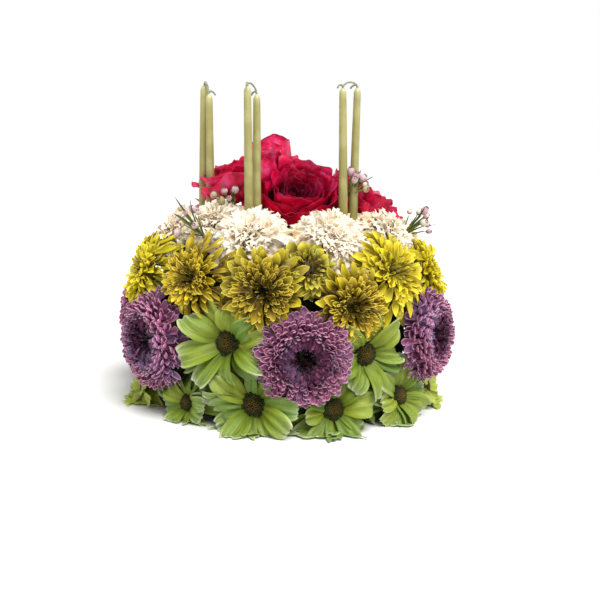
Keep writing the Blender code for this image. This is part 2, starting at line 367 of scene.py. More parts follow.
def backing_leaf(number):
    """A leaf that grows out of the core's side, shoulder or top and leans some way of its own."""
    azimuth = number * GOLDEN_TURN
    out = Vector((math.cos(azimuth), math.sin(azimuth), 0.0))
    if number < LEAVES_ON_TOP:
        height = core_top
        reach = CORE_FLAT * core_radius * math.sqrt((number + 0.5) / LEAVES_ON_TOP)
        facing = (Vector((0, 0, 1)) + 0.5 * out).normalized()
    else:
        height = core_top * (0.06 + 0.92 * ((number * GOLDEN_SHARE) % 1.0))
        over_shoulder = (shoulder - height) / (core_top - shoulder)
        reach = core_radius * min(1.0, 1.0 + over_shoulder * SHOULDER_SLOPE) * LEAF_ROOT
        facing = (out + Vector((0, 0, draw.uniform(-0.1, 0.5)))).normalized()
    at = facing_frame(out * reach + Vector((0, 0, height)), facing)
    length = draw.uniform(*LEAF_LENGTH)
    standoff = SHOULDER_STANDOFF if shoulder < height < core_top else LEAF_STANDOFF
    lean = min(math.radians(draw.uniform(20, 75)), math.asin(min(standoff / length, 1.0)))
    tip = heading(lean) * length
    middle = (Vector((0, -MM)), Vector((0.1 * length, 0.3 * length)), tip * 0.7 + Vector((0, MM)), tip)
    turn = draw.uniform(0, math.tau)
    roll = draw.uniform(-0.5, 0.5)
    place = petal_on(at, turn, middle, LEAF_HALF_WIDTH, leaf_outline, lambda v: 0.25, roll)
    ring = 0.5 if number < LEAVES_ON_TOP else height / core_top
    return above_plate(place), ring, draw.random()


leaves = shaped_petals(LEAVES_ON_TOP + LEAF_COUNT, 4, 8, LEAF_THICKNESS, backing_leaf)
finish_piece("backing_leaves", leaves, leaf_green(), "green_petal")

# ---------------------------------------------------------------- green daisies
# Apple-green single daisies, a low skirt of eleven whose lowest petals lie on the plate, and seven
# more between the purple heads. Broad ribbed petals stand round a button of tiny tubular florets.
DAISY_EYE = (0.24, 0.16)  # ring of facets at the eye and the eye's height, as shares of the head radius
DAISY_PETALS = 15
DAISY_DROOPING = 7  # more petals behind, which fill the gaps to the neighbours
DAISY_THICKNESS = 0.40 * MM
BUTTON_FLORETS = 130
BUTTON_RADIUS = 0.29  # this and the next two are shares of the head radius
BUTTON_RISE = 0.11
FLORET_RADIUS = 0.024
# Painted light: these skirt daisies take a lighter, yellower copy of the petal, for light that the lamp
# leaves them short of.
PAINTED_LIGHT_DAISIES = ("skirt_daisy_1", "skirt_daisy_6", "skirt_daisy_9")


def nodes_called(*starts):
    """The names of the frame's nodes that begin so, in its order."""
    return [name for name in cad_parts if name.startswith(starts)]


def head_of(name, eye):
    """A flower head's own frame, with Z its facing and Y up, and its radius, read from its node."""
    ring_share, height_share = eye
    fans = {}
    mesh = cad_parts[name].data
    for face in mesh.polygons:
        corners = [mesh.vertices[index].co for index in face.vertices]
        for corner in corners:
            fans.setdefault(corner_key(corner), []).append(corners)
    centre, fan = max(fans.items(), key=lambda item: len(item[1]))
    centre = Vector(centre)
    facing = Vector()
    for a, b, c in fan:
        facing += (b - a).cross(c - a)
    facing.normalize()
    rim = {corner_key(corner) for corners in fan for corner in corners}
    offs = [Vector(corner) - centre for corner in rim]
    spans = [(off - facing * off.dot(facing)).length for off in offs]
    radius = sum(spans) / (len(spans) - 1) / ring_share
    return facing_frame(centre - facing * (height_share * radius), facing), radius


def daisy_outline(v):
    """Half width of a broad daisy petal that stays wide to its cut tip."""
    swell = 0.30 + 0.70 * math.sin(math.pi * min(v / 0.60, 1.0) / 2)
    return swell * (1 - 0.42 * max((v - 0.72) / 0.28, 0.0) ** 2)


def daisy_petal(head, radius, number):
    """A broad petal, pleated lengthwise, cut into points at its tip; the last few droop behind."""
    drooping = number >= DAISY_PETALS
    outer = number % 2
    ring = 1.0 if drooping else 0.5 + 0.3 * outer
    length = radius * draw.uniform(0.80, 1.12) * (1.18 if drooping else 0.95 + 0.10 * outer)
    rise = radius * (-0.26 if drooping else 0.22 - 0.18 * outer + draw.uniform(-0.10, 0.14))
    nod = radius * draw.uniform(-0.30, 0.08)
    middle = (
        Vector((0.16 * radius, -0.04 * radius - 0.05 * radius * outer)),
        Vector((0.38 * radius, rise * 0.8 + 0.05 * radius)),
        Vector((0.74 * length, rise + 0.10 * radius)),
        Vector((length, rise + nod)),
    )
    petals = DAISY_DROOPING if drooping else DAISY_PETALS
    turn = (number + draw.uniform(-0.38, 0.38)) * math.tau / petals
    half = radius * draw.uniform(0.19, 0.30)
    phase = draw.uniform(0, math.tau)
    curl = draw.uniform(-0.3, 0.6)
    depth = radius * draw.uniform(0.018, 0.040)
    pleats = draw.uniform(5.5, 8.5)
    points = draw.choice((2, 3, 3))
    notch = draw.uniform(0.06, 0.17)
    wave = radius * draw.uniform(0.04, 0.11)
    roll = draw.uniform(-0.4, 0.4)
    twist = draw.uniform(-0.7, 0.7)

    def pleated(u, v):
        return depth * math.cos(pleats * u + 0.4) * min(3 * v, 1.0) + wave * u * v * math.sin(5 * v + phase)

    place = petal_on(
        head, turn, middle, half, daisy_outline, lambda v: curl * (1 - 0.5 * v), roll, twist, pleated
    )

    def cut(u, v):
        cleft = abs(math.sin(math.pi * points * (0.5 + 0.5 * u) + 0.3 * phase))
        return place(u, v * (1 - notch * v**4 * cleft))

    return above_plate(cut), ring, draw.random()


def button(heads):
    """Tight domes of tiny tubular florets, one dome for each head."""
    bm = bmesh.new()
    mark, ring_mark = marks_on(bm)
    tall = Matrix.Diagonal((1, 1, 1.9, 1))
    for head, radius in heads:
        for number in range(BUTTON_FLORETS):
            share = math.sqrt((number + 0.5) / BUTTON_FLORETS)
            turn = number * GOLDEN_TURN
            out = share * BUTTON_RADIUS * radius
            height = BUTTON_RISE * radius * (1 - share * share) + 0.02 * radius
            size = FLORET_RADIUS * radius * draw.uniform(0.8, 1.15)
            at = Matrix.Translation((out * math.cos(turn), out * math.sin(turn), height))
            made = bmesh.ops.create_icosphere(bm, subdivisions=1, radius=size, matrix=head @ at @ tall)
            tone = draw.random()
            for vert in made["verts"]:
                vert[mark] = (0.5, 0.5, tone)
                vert[ring_mark] = share
    return bm


def edge_share(tree, across, along, side_from, tip_from):
    """0 over most of a petal, 1 along its tip and the sides next to it."""
    side = (off_middle(tree, across), 0.5 * side_from, 0.5, 0.0, 1.0)
    side = share_of(tree, side, (along, 0.35, 0.85, 0.0, 1.0))
    tip = share_of(tree, (along, tip_from, 1.0, 0.0, 1.0))
    return node(tree, "ShaderNodeMath", {0: side, 1: tip}, operation="MAXIMUM")


def daisy_green(name, painted_light):
    """Fresh green daisy petal: thin, faintly waxy, ribbed, pale at its tip; a copy with painted light is
    lighter and yellower.
    """
    material, tree = start_material(
        name,
        0.50,
        Specular_IOR_Level=0.30,
        Subsurface_Weight=0.25,
        Subsurface_Scale=2 * MM,
        Subsurface_Radius=(0.7, 1.0, 0.3),
    )
    across, along, tone, _ = petal_marks(tree)
    body = node(
        tree,
        "ShaderNodeValToRGB",
        {"Fac": along},
        stops=((0.10, "#566406"), (0.35, "#7a8e24"), (0.70, "#8ea452"), (1.0, "#ccd6b0")),
    )
    grain = ribs(tree, across, along, 16.0)
    body = coated(tree, body, "#5a7424", (grain, 0.42, 0.60, 0.0, 0.70))
    body = coated(tree, body, "#dfe6b4", edge_share(tree, across, along, 0.70, 0.88), 0.30)
    body = coated(tree, body, "#6a8c3c", (tone, 0.55, 1.0, 0.0, 0.7))
    body = coated(tree, body, "#98a22c", (tone, 0.40, 0.0, 0.0, 0.5))
    # Painted light: the lighter, yellower coat of the copy, for daisies that the lamp leaves too dark.
    body = coated(tree, body, "#c6d052", painted_light)
    return faced(material, body, grain, 0.8, 0.35 * MM)


def daisy_button():
    """Unopened disc florets: tiny green-brown tubes, olive at the middle and darker round the foot."""
    material, tree = start_material("daisy_disc_florets", 0.65, Specular_IOR_Level=0.3)
    _, _, tone, ring = petal_marks(tree)
    body = node(
        tree,
        "ShaderNodeValToRGB",
        {"Fac": ring},
        stops=((0.0, "#5e4310"), (0.40, "#46380e"), (0.65, "#1a2208"), (1.0, "#1f2a0c")),
    )
    shader = tree.nodes["Principled BSDF"]
    tree.links.new(coated(tree, body, "#7c7430", tone, 0.25), shader.inputs["Base Color"])
    return material


green_petal = daisy_green("green_daisy_petal", 0.0)
painted_light_petal = daisy_green("painted_light_daisy_petal", 0.65)
daisy_heads = {name: head_of(name, DAISY_EYE) for name in nodes_called("side_daisy", "skirt_daisy")}
for name, (head, radius) in daisy_heads.items():
    petals = shaped_petals(
        DAISY_PETALS + DAISY_DROOPING,
        10,
        8,
        DAISY_THICKNESS,
        lambda number: daisy_petal(head, radius, number),
    )
    material = painted_light_petal if name in PAINTED_LIGHT_DAISIES else green_petal
    finish_piece(f"{name}_petals", petals, material, "green_petal", name)
finish_piece("daisy_buttons", button(daisy_heads.values()), daisy_button(), "green_petal")

# ---------------------------------------------------------------- purple chrysanthemums
# Seven full double heads, each of some 400 hooded petals that crowd round a sunken dark eye, its near
# black partly painted shade. The petals are plum towards their feet, painted shade deep among the others,
# and pale pinkish lilac along their rims, partly painted highlight, and they turn bluer low down.
PURPLE_EYE = (0.17, 0.08)
PURPLE_PETALS = 400
PURPLE_THICKNESS = 0.26 * MM
# Height of the petals' tips as a share of the head radius, and their slope in degrees, by ring.
PURPLE_CROWN = ((0.0, 0.0), (0.17, 0.06), (0.32, 0.28), (0.46, 0.44), (0.64, 0.47), (0.82, 0.36), (1.0, 0.0))
PURPLE_SLOPE = ((0.10, 76), (0.30, 62), (0.45, 54), (0.66, 26), (0.82, -4), (0.93, -28), (1.0, -50))
LEAST_FOOT = 0.02  # no petal springs nearer the axis than this share of the radius


def read_off(profile, x):
    """The height of a line of (x, y) points at x, level beyond its ends."""
    for (x0, y0), (x1, y1) in zip(profile, profile[1:]):
        if x <= x1:
            return y0 + (y1 - y0) * max(x - x0, 0.0) / (x1 - x0)
    return profile[-1][1]


def spoon_outline(v):
    """Half width of a petal with a broad, round end."""
    return (0.45 + 0.55 * min(v / 0.7, 1.0)) * math.sqrt(1 - 0.86 * max((v - 0.7) / 0.3, 0.0) ** 3)


def arched(radius, tip, length, slope, foot_slope, foot_pull, tip_slope, tip_pull):
    """A petal's middle line, back from its tip to its foot; the pulls say how far each end runs straight."""
    foot = tip - heading(slope) * length
    foot.x = max(foot.x, LEAST_FOOT * radius)
    return (
        foot,
        foot + heading(foot_slope) * (foot_pull * length),
        tip - heading(tip_slope) * (tip_pull * length),
        tip,
    )


def purple_petal(head, radius, number):
    """A narrow trough of a petal whose round end hoods over towards the eye."""
    share = (number + 0.5) / PURPLE_PETALS
    ring = math.sqrt(0.004 + 0.996 * share)
    reach = radius * ring * draw.uniform(0.95, 1.03)
    height = radius * (read_off(PURPLE_CROWN, ring) + draw.uniform(-0.05, 0.03))
    slope = math.radians(read_off(PURPLE_SLOPE, ring) + draw.uniform(-8, 8))
    hook = math.radians(draw.uniform(50, 110))
    length = radius * (0.26 + 0.24 * ring)
    middle = arched(radius, Vector((reach, height)), length, slope, slope - 0.25, 0.40, slope + hook, 0.40)
    half = radius * (0.020 + 0.068 * ring) * draw.uniform(0.8, 1.2)
    curl = draw.uniform(0.7, 1.5)
    turn = number * GOLDEN_TURN + draw.uniform(-0.08, 0.08)
    roll = draw.uniform(-0.4, 0.4)
    twist = draw.uniform(-0.4, 0.4)
    place = petal_on(head, turn, middle, half, spoon_outline, lambda v: curl * (1.25 - 0.35 * v), roll, twist)
    return place, ring, draw.random()


def purple_mum():
    """Mauve chrysanthemum petal: velvety and matt, painted shade making it plum towards its foot, with pale
    rims that are partly painted highlight.
    """
    material, tree = start_material(
        "mauve_chrysanthemum_petal",
        0.55,
        Specular_IOR_Level=0.25,
        Subsurface_Weight=0.15,
        Subsurface_Scale=1.5 * MM,
        Subsurface_Radius=(1.0, 0.6, 0.8),
    )
    across, along, tone, ring = petal_marks(tree)
    # The ring ramp runs near black at the eye: partly the inner petals' own dark tone, partly painted shade
    # in the sunken eye.
    body = node(
        tree,
        "ShaderNodeValToRGB",
        {"Fac": ring},
        stops=(
            (0.12, "#08050a"),
            (0.26, "#1f1826"),
            (0.38, "#50465c"),
            (0.52, "#76566e"),
            (0.66, "#9c5078"),
            (0.86, "#9a5078"),
            (1.0, "#865884"),
        ),
    )
    # Painted shade: each petal darkens towards its foot, near black in the inner rings and plum in the outer,
    # where the feet lie deep among the others.
    painted_foot_shade = coated(tree, "#17111c", "#430f30", (ring, 0.45, 0.85, 0.0, 1.0))
    body = coated(tree, body, painted_foot_shade, (along, 0.25, 0.85, 0.92, 0.0))
    place = node(tree, "ShaderNodeTexCoord", out="Object")
    drift = node(tree, "ShaderNodeTexNoise", {"Vector": place, "Scale": 1 / (28 * MM), "Detail": 1.0})
    body = coated(tree, body, "#7d6fa0", (drift, 0.5, 0.72, 0.0, 0.40))
    body = coated(tree, body, "#c06c94", (tone, 0.6, 1.0, 0.0, 0.5))
    grain = ribs(tree, across, along, 10.0)
    body = coated(tree, body, "#c284a8", (grain, 0.5, 0.75, 0.0, 0.30))
    # Pale rims, stronger on the outer rings: partly the petals' own pale margin, partly painted highlight.
    edge = edge_share(tree, across, along, 0.76, 0.92)
    body = coated(tree, body, "#efbed2", edge, (ring, 0.30, 0.65, 0.10, 0.72))
    return faced(material, body, grain, 0.5, 0.15 * MM)


mauve_petal = purple_mum()
for name in nodes_called("purple_mum"):
    head, radius = head_of(name, PURPLE_EYE)
    petals = shaped_petals(
        PURPLE_PETALS, 4, 6, PURPLE_THICKNESS, lambda number: purple_petal(head, radius, number)
    )
    finish_piece(f"{name}_petals", petals, mauve_petal, "purple_petal", name)

# ---------------------------------------------------------------- yellow chrysanthemums
# Thirteen looser heads in a ring, from lemon to old gold and olive. Quilled spoon petals stand round
# a brown eye, partly painted shade, and longer ray petals, cream along their edges, partly painted
# highlight, hang out below and to the sides.
YELLOW_EYE = (0.30, 0.06)
YELLOW_THICKNESS = 0.30 * MM
YELLOW_CROWN = (
    (0.0, 0.02),
    (0.15, 0.10),
    (0.40, 0.36),
    (0.66, 0.36),
    (0.85, 0.20),
    (1.0, 0.04),
    (1.3, -0.36),
)
YELLOW_SLOPE = ((0.10, 78), (0.35, 58), (0.60, 30), (1.0, -8), (1.3, -36))
FIRST_RAY = 0.70  # reach of the innermost ray petal, as a share of the radius
OLDEST_TINT = 0.6  # heads with more of the tint than this are greener, but no darker in the painted shade inside
# Each head: spoon petals, ray petals, half width of a ray and reach of the longest, as shares of the
# radius, and its tint, from 0 for lemon over 0.5 for old gold to 1 for olive green.
YELLOW_CHARACTERS = {
    "yellow_mum_1": (120, 160, 0.080, 1.34, 0.02),
    "yellow_mum_2": (180, 90, 0.085, 1.28, 0.40),
    "yellow_mum_3": (170, 60, 0.150, 1.14, 0.60),
    "yellow_mum_4": (70, 60, 0.170, 1.16, 0.98),
    "yellow_mum_5": (170, 70, 0.130, 1.12, 0.50),
    "yellow_mum_6": (100, 100, 0.110, 1.26, 0.12),
    "yellow_mum_7": (100, 110, 0.090, 1.26, 0.06),
}
OTHER_CHARACTERS = (
    (130, 100, 0.090, 1.26, 0.24),
    (120, 80, 0.120, 1.22, 0.52),
    (110, 110, 0.090, 1.26, 0.06),
)


def pointed_outline(v):
    """Half width of a petal that is broadest near its middle and ends in a soft point."""
    swell = 0.42 + 0.58 * math.sin(math.pi * min(v / 0.62, 1.0) / 2)
    return swell * (1 - 0.90 * max((v - 0.62) / 0.38, 0.0) ** 1.7)


def yellow_petal(head, radius, character, number):
    """A quilled spoon petal near the eye, or a long ray petal outside, the last of which hang behind."""
    spoons, rays, ray_half, ray_reach, _ = character
    if number >= spoons:
        share = (number - spoons + 0.5) / rays
        ring = FIRST_RAY + (ray_reach - FIRST_RAY) * share
        length = radius * draw.uniform(0.45, 0.70) * min(ring, 1.0)
        half = radius * ray_half * draw.uniform(0.65, 1.30)
        curl = draw.uniform(0.6, 1.6)
        hook = math.radians(draw.uniform(-60, 60))
        outline = pointed_outline
    else:
        share = (number + 0.5) / spoons
        ring = math.sqrt(0.012 + 0.50 * share)
        length = radius * (0.22 + 0.26 * ring)
        half = radius * (0.032 + 0.062 * ring) * draw.uniform(0.8, 1.25)
        curl = draw.uniform(1.3, 2.3)
        hook = math.radians(draw.uniform(-30, 80))
        outline = spoon_outline
    reach = radius * ring * draw.uniform(0.90, 1.08)
    height = radius * (read_off(YELLOW_CROWN, ring) + draw.uniform(-0.07, 0.07))
    slope = math.radians(read_off(YELLOW_SLOPE, ring) + draw.uniform(-14, 14))
    middle = arched(radius, Vector((reach, height)), length, slope, slope - 0.2, 0.36, slope + hook, 0.34)
    turn = number * GOLDEN_TURN + draw.uniform(-0.2, 0.2)
    roll = draw.uniform(-0.5, 0.5)
    twist = draw.uniform(-0.6, 0.6)
    place = petal_on(head, turn, middle, half, outline, lambda v: curl * (1.2 - 0.4 * v), roll, twist)
    return place, min(ring, 1.0), draw.random()


def yellow_mum(name, tint):
    """Yellow chrysanthemum petal: satiny, brown-gold at its foot and towards the eye, partly painted shade,
    and cream along its edges, partly painted highlight.
    """
    material, tree = start_material(
        f"{name}_petal",
        0.50,
        Specular_IOR_Level=0.30,
        Subsurface_Weight=0.25,
        Subsurface_Scale=2 * MM,
        Subsurface_Radius=(1.0, 0.8, 0.1),
    )
    across, along, tone, ring = petal_marks(tree)
    body = node(
        tree,
        "ShaderNodeValToRGB",
        {"Fac": tint},
        stops=(
            (0.0, "#fff024"),
            (0.15, "#fbe628"),
            (0.40, "#dcb40c"),
            (0.58, "#b08a04"),
            (0.8, "#9c9218"),
            (1.0, "#b0b444"),
        ),
    )
    age = min(tint, OLDEST_TINT)
    # Painted shade, partly the eye's own brown: depth says how strongly the inner rings and the feet of the
    # petals are darkened.
    depth = 0.50 + 0.80 * age
    body = coated(tree, body, "#c0b828", (ring, 0.66, 0.86, 0.0, age))
    body = coated(tree, body, "#f4da22", (tone, 0.5, 1.0, 0.0, 0.65))
    body = coated(tree, body, "#6e5204", (tone, 0.40, 0.0, 0.0, 0.60))
    body = coated(tree, body, "#3a2604", (ring, 0.16, 0.55, depth, 0.0))
    body = coated(tree, body, "#4e3600", (along, 0.20, 0.85, depth, 0.0))
    grain = ribs(tree, across, along, 9.0)
    body = coated(tree, body, "#a08c14", (grain, 0.45, 0.75, 0.0, 0.30))
    # Cream along the tips and the sides next to them: partly the petals' own pale margin, partly painted
    # highlight.
    body = coated(tree, body, "#f8e668", edge_share(tree, across, along, 0.74, 0.88), 0.72)
    return faced(material, body, grain, 0.5, 0.2 * MM)


for place_in_row, name in enumerate(nodes_called("yellow_mum")):
    head, radius = head_of(name, YELLOW_EYE)
    character = YELLOW_CHARACTERS.get(name, OTHER_CHARACTERS[place_in_row % len(OTHER_CHARACTERS)])
    petals = shaped_petals(
        character[0] + character[1],
        4,
        6,
        YELLOW_THICKNESS,
        lambda number: yellow_petal(head, radius, character, number),
    )
    finish_piece(f"{name}_petals", petals, yellow_mum(name, character[4]), "yellow_petal", name)

# ---------------------------------------------------------------- carnations
# Nine cream carnations shoulder to shoulder round the top. Each is a dome of crimped, fringed
# petals, pale cream and dry, touched with peach down in the folds, partly their own tint and partly
# painted shade towards the petals' feet.
CARNATION_EYE = (0.36, 0.52)
CARNATION_PETALS = 170
CARNATION_THICKNESS = 0.28 * MM
CARNATION_TEETH = 10
CARNATION_SPREAD = 1.14  # loose outer petals reach a little past the firm head
CARNATION_CROWN = ((0.0, 0.58), (0.36, 0.54), (0.76, 0.36), (1.0, -0.02), (1.15, -0.30))
CARNATION_SLOPE = ((0.0, 88), (0.36, 66), (0.76, 34), (1.0, -8), (1.15, -30))
PRESSED_CLEAR = 3.5 * MM  # how far a rose keeps a carnation's petals off the plane between them
PRESSED_BACK = 0.94  # share of its overreach by which a petal is pressed back
ROSE_EYE = (0.14, 0.26)
# The roses lie on the carnations and press them back, so their places are read here.
rose_heads = {name: head_of(name, ROSE_EYE) for name in nodes_called("rose")}


def fan_outline(v):
    """Half width of a petal that spreads like a fan from a narrow claw."""
    return 0.16 + 0.84 * max((v - 0.18) / 0.82, 0.0) ** 0.8


def pressed(place, head, radius, others):
    """Hold a petal back at the plane where its head meets a neighbour."""
    centre = head.translation
    planes = []
    for other, other_radius in others:
        apart = other.translation - centre
        room = apart.length * radius / (radius + other_radius) - PRESSED_CLEAR
        planes.append((apart.normalized(), room))

    def held(u, v):
        point = place(u, v)
        for normal, room in planes:
            over = (point - centre).dot(normal) - room
            if over > 0:
                point -= normal * (over * PRESSED_BACK)
        return point

    return held


def carnation_petal(head, radius, number):
    """A fan of a petal, crimped along its far edge and cut into small teeth."""
    share = (number + 0.5) / CARNATION_PETALS
    ring = CARNATION_SPREAD * math.sqrt(0.01 + 0.98 * share)
    layer = radius * (0.94 if number % 3 else 1.0)  # two petals in three fill in beneath the others
    reach = layer * ring * draw.uniform(0.95, 1.04)
    height = layer * (read_off(CARNATION_CROWN, ring) + draw.uniform(-0.05, 0.04))
    slope = math.radians(read_off(CARNATION_SLOPE, ring) + draw.uniform(-8, 8))
    flare = slope - math.radians(draw.uniform(5, 60))
    middle = arched(radius, Vector((reach, height)), radius * 0.62, slope, slope + 0.4, 0.36, flare, 0.30)
    half = radius * draw.uniform(0.22, 0.34)
    waves = draw.uniform(3.5, 6.5)
    phase = draw.uniform(0, math.tau)
    second = draw.uniform(0, math.tau)
    depth = radius * draw.uniform(0.04, 0.08)
    roll = draw.uniform(-0.5, 0.5)
    twist = draw.uniform(-0.5, 0.5)
    axis = head.translation

    def tooth(u):
        return math.cos(math.pi * CARNATION_TEETH * (u + 1) / 2)

    def crimped(u, v):
        wave = math.sin(waves * u + phase) + 0.5 * math.sin(2.3 * waves * u + second)
        return depth * v * v * (wave + 0.4 * tooth(u) * v**6)

    place = petal_on(
        head, number * GOLDEN_TURN, middle, half, fan_outline, lambda v: 0.5, roll, twist, crimped
    )

    def fringed(u, v):
        point = place(u, v)
        droop = 0.07 * u * u + 0.11 * (0.5 + 0.5 * tooth(u))
        return point + (axis - point) * (droop * v**5)

    return pressed(fringed, head, radius, rose_heads.values()), min(ring, 1.0), draw.random()


def cream_carnation():
    """Cream carnation petal: dry, matt and papery, warm at its foot, with peach drifts that grow towards the
    foot, partly painted shade in the folds.
    """
    material, tree = start_material(
        "cream_carnation_petal",
        0.60,
        Specular_IOR_Level=0.20,
        Subsurface_Weight=0.08,
        Subsurface_Scale=1 * MM,
        Subsurface_Radius=(1.0, 0.9, 0.7),
    )
    across, along, _, _ = petal_marks(tree)
    body = node(
        tree,
        "ShaderNodeValToRGB",
        {"Fac": along},
        stops=((0.10, "#fff2cf"), (0.35, "#fff5da"), (0.70, "#fdf2dc"), (1.0, "#f7ecdc")),
    )
    place = node(tree, "ShaderNodeTexCoord", out="Object")
    drift = node(tree, "ShaderNodeTexNoise", {"Vector": place, "Scale": 1 / (9 * MM), "Detail": 1.5})
    # Peach drifts, stronger towards the foot: partly the petals' own tint, partly painted shade deep in the
    # folds.
    body = coated(tree, body, "#fadcb0", (drift, 0.5, 0.68, 0.0, 0.75), (along, 1.0, 0.6, 0.25, 1.0))
    return faced(material, body, ribs(tree, across, along, 22.0), 0.5, 0.25 * MM)


cream_petal = cream_carnation()
for name in nodes_called("carnation"):
    head, radius = head_of(name, CARNATION_EYE)
    petals = shaped_petals(
        CARNATION_PETALS,
        CARNATION_TEETH,
        5,
        CARNATION_THICKNESS,
        lambda number: carnation_petal(head, radius, number),
    )
    finish_piece(f"{name}_petals", petals, cream_petal, "cream_petal", name)

# ---------------------------------------------------------------- roses
# Five crimson garden roses fill the middle. Their petals wrap round a dark heart, partly painted shade,
# in rings, each ring wider and lower, and the broad outer ones roll their pointed rims outward.
ROSE_THICKNESS = 0.45 * MM
# Each ring of petals: how many, radius and height of the rims as shares of the head radius, half the
# angle that a petal wraps, in degrees, and how far its rim rolls outward.
ROSE_RINGS = (
    (3, 0.07, 0.08, 80, -0.02),
    (3, 0.14, 0.14, 74, 0.00),
    (4, 0.23, 0.22, 64, 0.01),
    (4, 0.33, 0.30, 58, 0.03),
    (4, 0.45, 0.36, 56, 0.05),
    (5, 0.58, 0.39, 48, 0.07),
    (5, 0.72, 0.40, 46, 0.08),
    (6, 0.86, 0.37, 44, 0.10),
    (6, 0.96, 0.24, 42, 0.13),
    (5, 1.00, -0.04, 44, 0.18),
)
# How far the petals on a rose's upper side stand above the others, as a share of its radius.
ROSE_PEAKS = {"rose_4": 0.58, "rose_2": 0.14}


def rose_petal(head, radius, row, turn, peak):
    """A petal that wraps part way round the heart, waved along its rim, which rolls out to a point."""
    _, out, high, wrap, lip = row
    upper = math.exp(-(((turn % math.tau) - math.pi / 2) ** 2) / 0.35)
    high = radius * (high + draw.uniform(-0.07, 0.07) + peak * out * upper)
    out *= radius * draw.uniform(0.90, 1.08)
    wrap = math.radians(wrap * draw.uniform(0.80, 1.20))
    middle = (
        Vector((0.04 * radius, -0.45 * radius)),
        Vector((1.10 * out, -0.42 * radius)),
        Vector((0.96 * out, high - 0.34 * radius)),
        Vector((out, high)),
    )
    wave = draw.uniform(0, math.tau)
    waves = draw.uniform(2.6, 6.0)
    ruffle = radius * draw.uniform(0.04, 0.10) * (0.2 + out / radius)
    fold = radius * draw.uniform(-0.04, 0.04)
    lip_reach = lip * radius * draw.uniform(0.4, 1.5)
    lean = draw.uniform(-0.12, 0.12) * radius
    pointed = draw.uniform(0.0, 0.45)
    ragged = draw.uniform(6.0, 11.0)

    def place(u, v):
        v = 1 - (1 - v) ** 1.35
        along = v * (1 - 0.17 * u**4 * v)
        spot, _ = on_curve(middle, along)
        rolled = max((along - 0.70) / 0.30, 0.0)
        point = pointed * math.exp(-16 * u * u)
        reach = spot.x + lip_reach * rolled * rolled * (0.75 + 0.6 * point)
        reach += ruffle * along**3 * math.sin(waves * u + wave) + fold * along * math.cos(2.4 * u + wave)
        height = spot.y - 0.5 * abs(lip_reach) * rolled**3 + 0.08 * radius * point * rolled
        height += 0.6 * ruffle * rolled * math.cos(1.7 * waves * u + wave) + lean * u * along
        height -= 0.035 * radius * rolled * abs(math.sin(ragged * u + wave))
        angle = turn + u * wrap * (0.55 + 0.45 * min(2 * v, 1.0)) * (1 - 0.10 * v)
        return head @ Vector((reach * math.cos(angle), reach * math.sin(angle), height))

    return place


def rose_petals(head, radius, peak):
    """All the rings of one rose."""
    plan = []
    for ring, row in enumerate(ROSE_RINGS):
        start = draw.uniform(0, math.tau)
        for number in range(row[0]):
            turn = start + (number + draw.uniform(-0.12, 0.12)) * math.tau / row[0]
            petal = rose_petal(head, radius, row, turn, peak)
            plan.append((petal, (ring + 0.5) / len(ROSE_RINGS), draw.random()))
    return shaped_petals(len(plan), 18, 9, ROSE_THICKNESS, lambda number: plan[number])


def crimson_rose():
    """Crimson rose petal: velvet with a soft sheen, near black in the heart, partly painted shade, with
    painted highlights in pink drifts and painted shade in dark drifts.
    """
    material, tree = start_material(
        "crimson_rose_petal",
        0.38,
        Specular_IOR_Level=0.38,
        Sheen_Weight=0.12,
        Sheen_Roughness=0.4,
        Sheen_Tint=linear("#ff5a98"),
        Subsurface_Weight=0.10,
        Subsurface_Scale=2 * MM,
        Subsurface_Radius=(1.0, 0.2, 0.3),
    )
    across, along, tone, ring = petal_marks(tree)
    # Partly painted shade, partly the rose's own deeper red: the rings run near black towards the heart, and
    # each petal darkens towards its foot.
    body = node(
        tree,
        "ShaderNodeValToRGB",
        {"Fac": ring},
        stops=((0.05, "#300012"), (0.22, "#780026"), (0.50, "#d80642"), (1.0, "#fc145c")),
    )
    body = coated(tree, body, "#5c0018", (along, 0.3, 0.85, 0.7, 0.0))
    place = node(tree, "ShaderNodeTexCoord", out="Object")
    drift = node(tree, "ShaderNodeTexNoise", {"Vector": place, "Scale": 1 / (9 * MM), "Detail": 2.0})
    # Painted highlights in the pink drifts and painted shade in the dark drifts.
    body = coated(tree, body, "#e0508c", (drift, 0.52, 0.68, 0.0, 0.70))
    body = coated(tree, body, "#6a001c", (drift, 0.48, 0.32, 0.0, 0.60))
    grain = ribs(tree, across, along, 14.0)
    body = coated(tree, body, "#8a0428", (grain, 0.5, 0.8, 0.0, 0.3))
    edge = edge_share(tree, across, along, 0.94, 0.90)
    body = coated(tree, body, "#5a0a26", edge, (tone, 0.3, 0.6, 0.15, 0.60))
    crumple = node(tree, "ShaderNodeTexNoise", {"Vector": place, "Scale": 1 / (4 * MM), "Detail": 3.0})
    relief = node(tree, "ShaderNodeMath", {0: grain, 1: 0.3, 2: crumple}, operation="MULTIPLY_ADD")
    return faced(material, body, relief, 0.8, 1.1 * MM)


red_petal = crimson_rose()
for name, (head, radius) in rose_heads.items():
    petals = rose_petals(head, radius, ROSE_PEAKS.get(name, 0.0))
    finish_piece(f"{name}_petals", petals, red_petal, "red_petal", name)

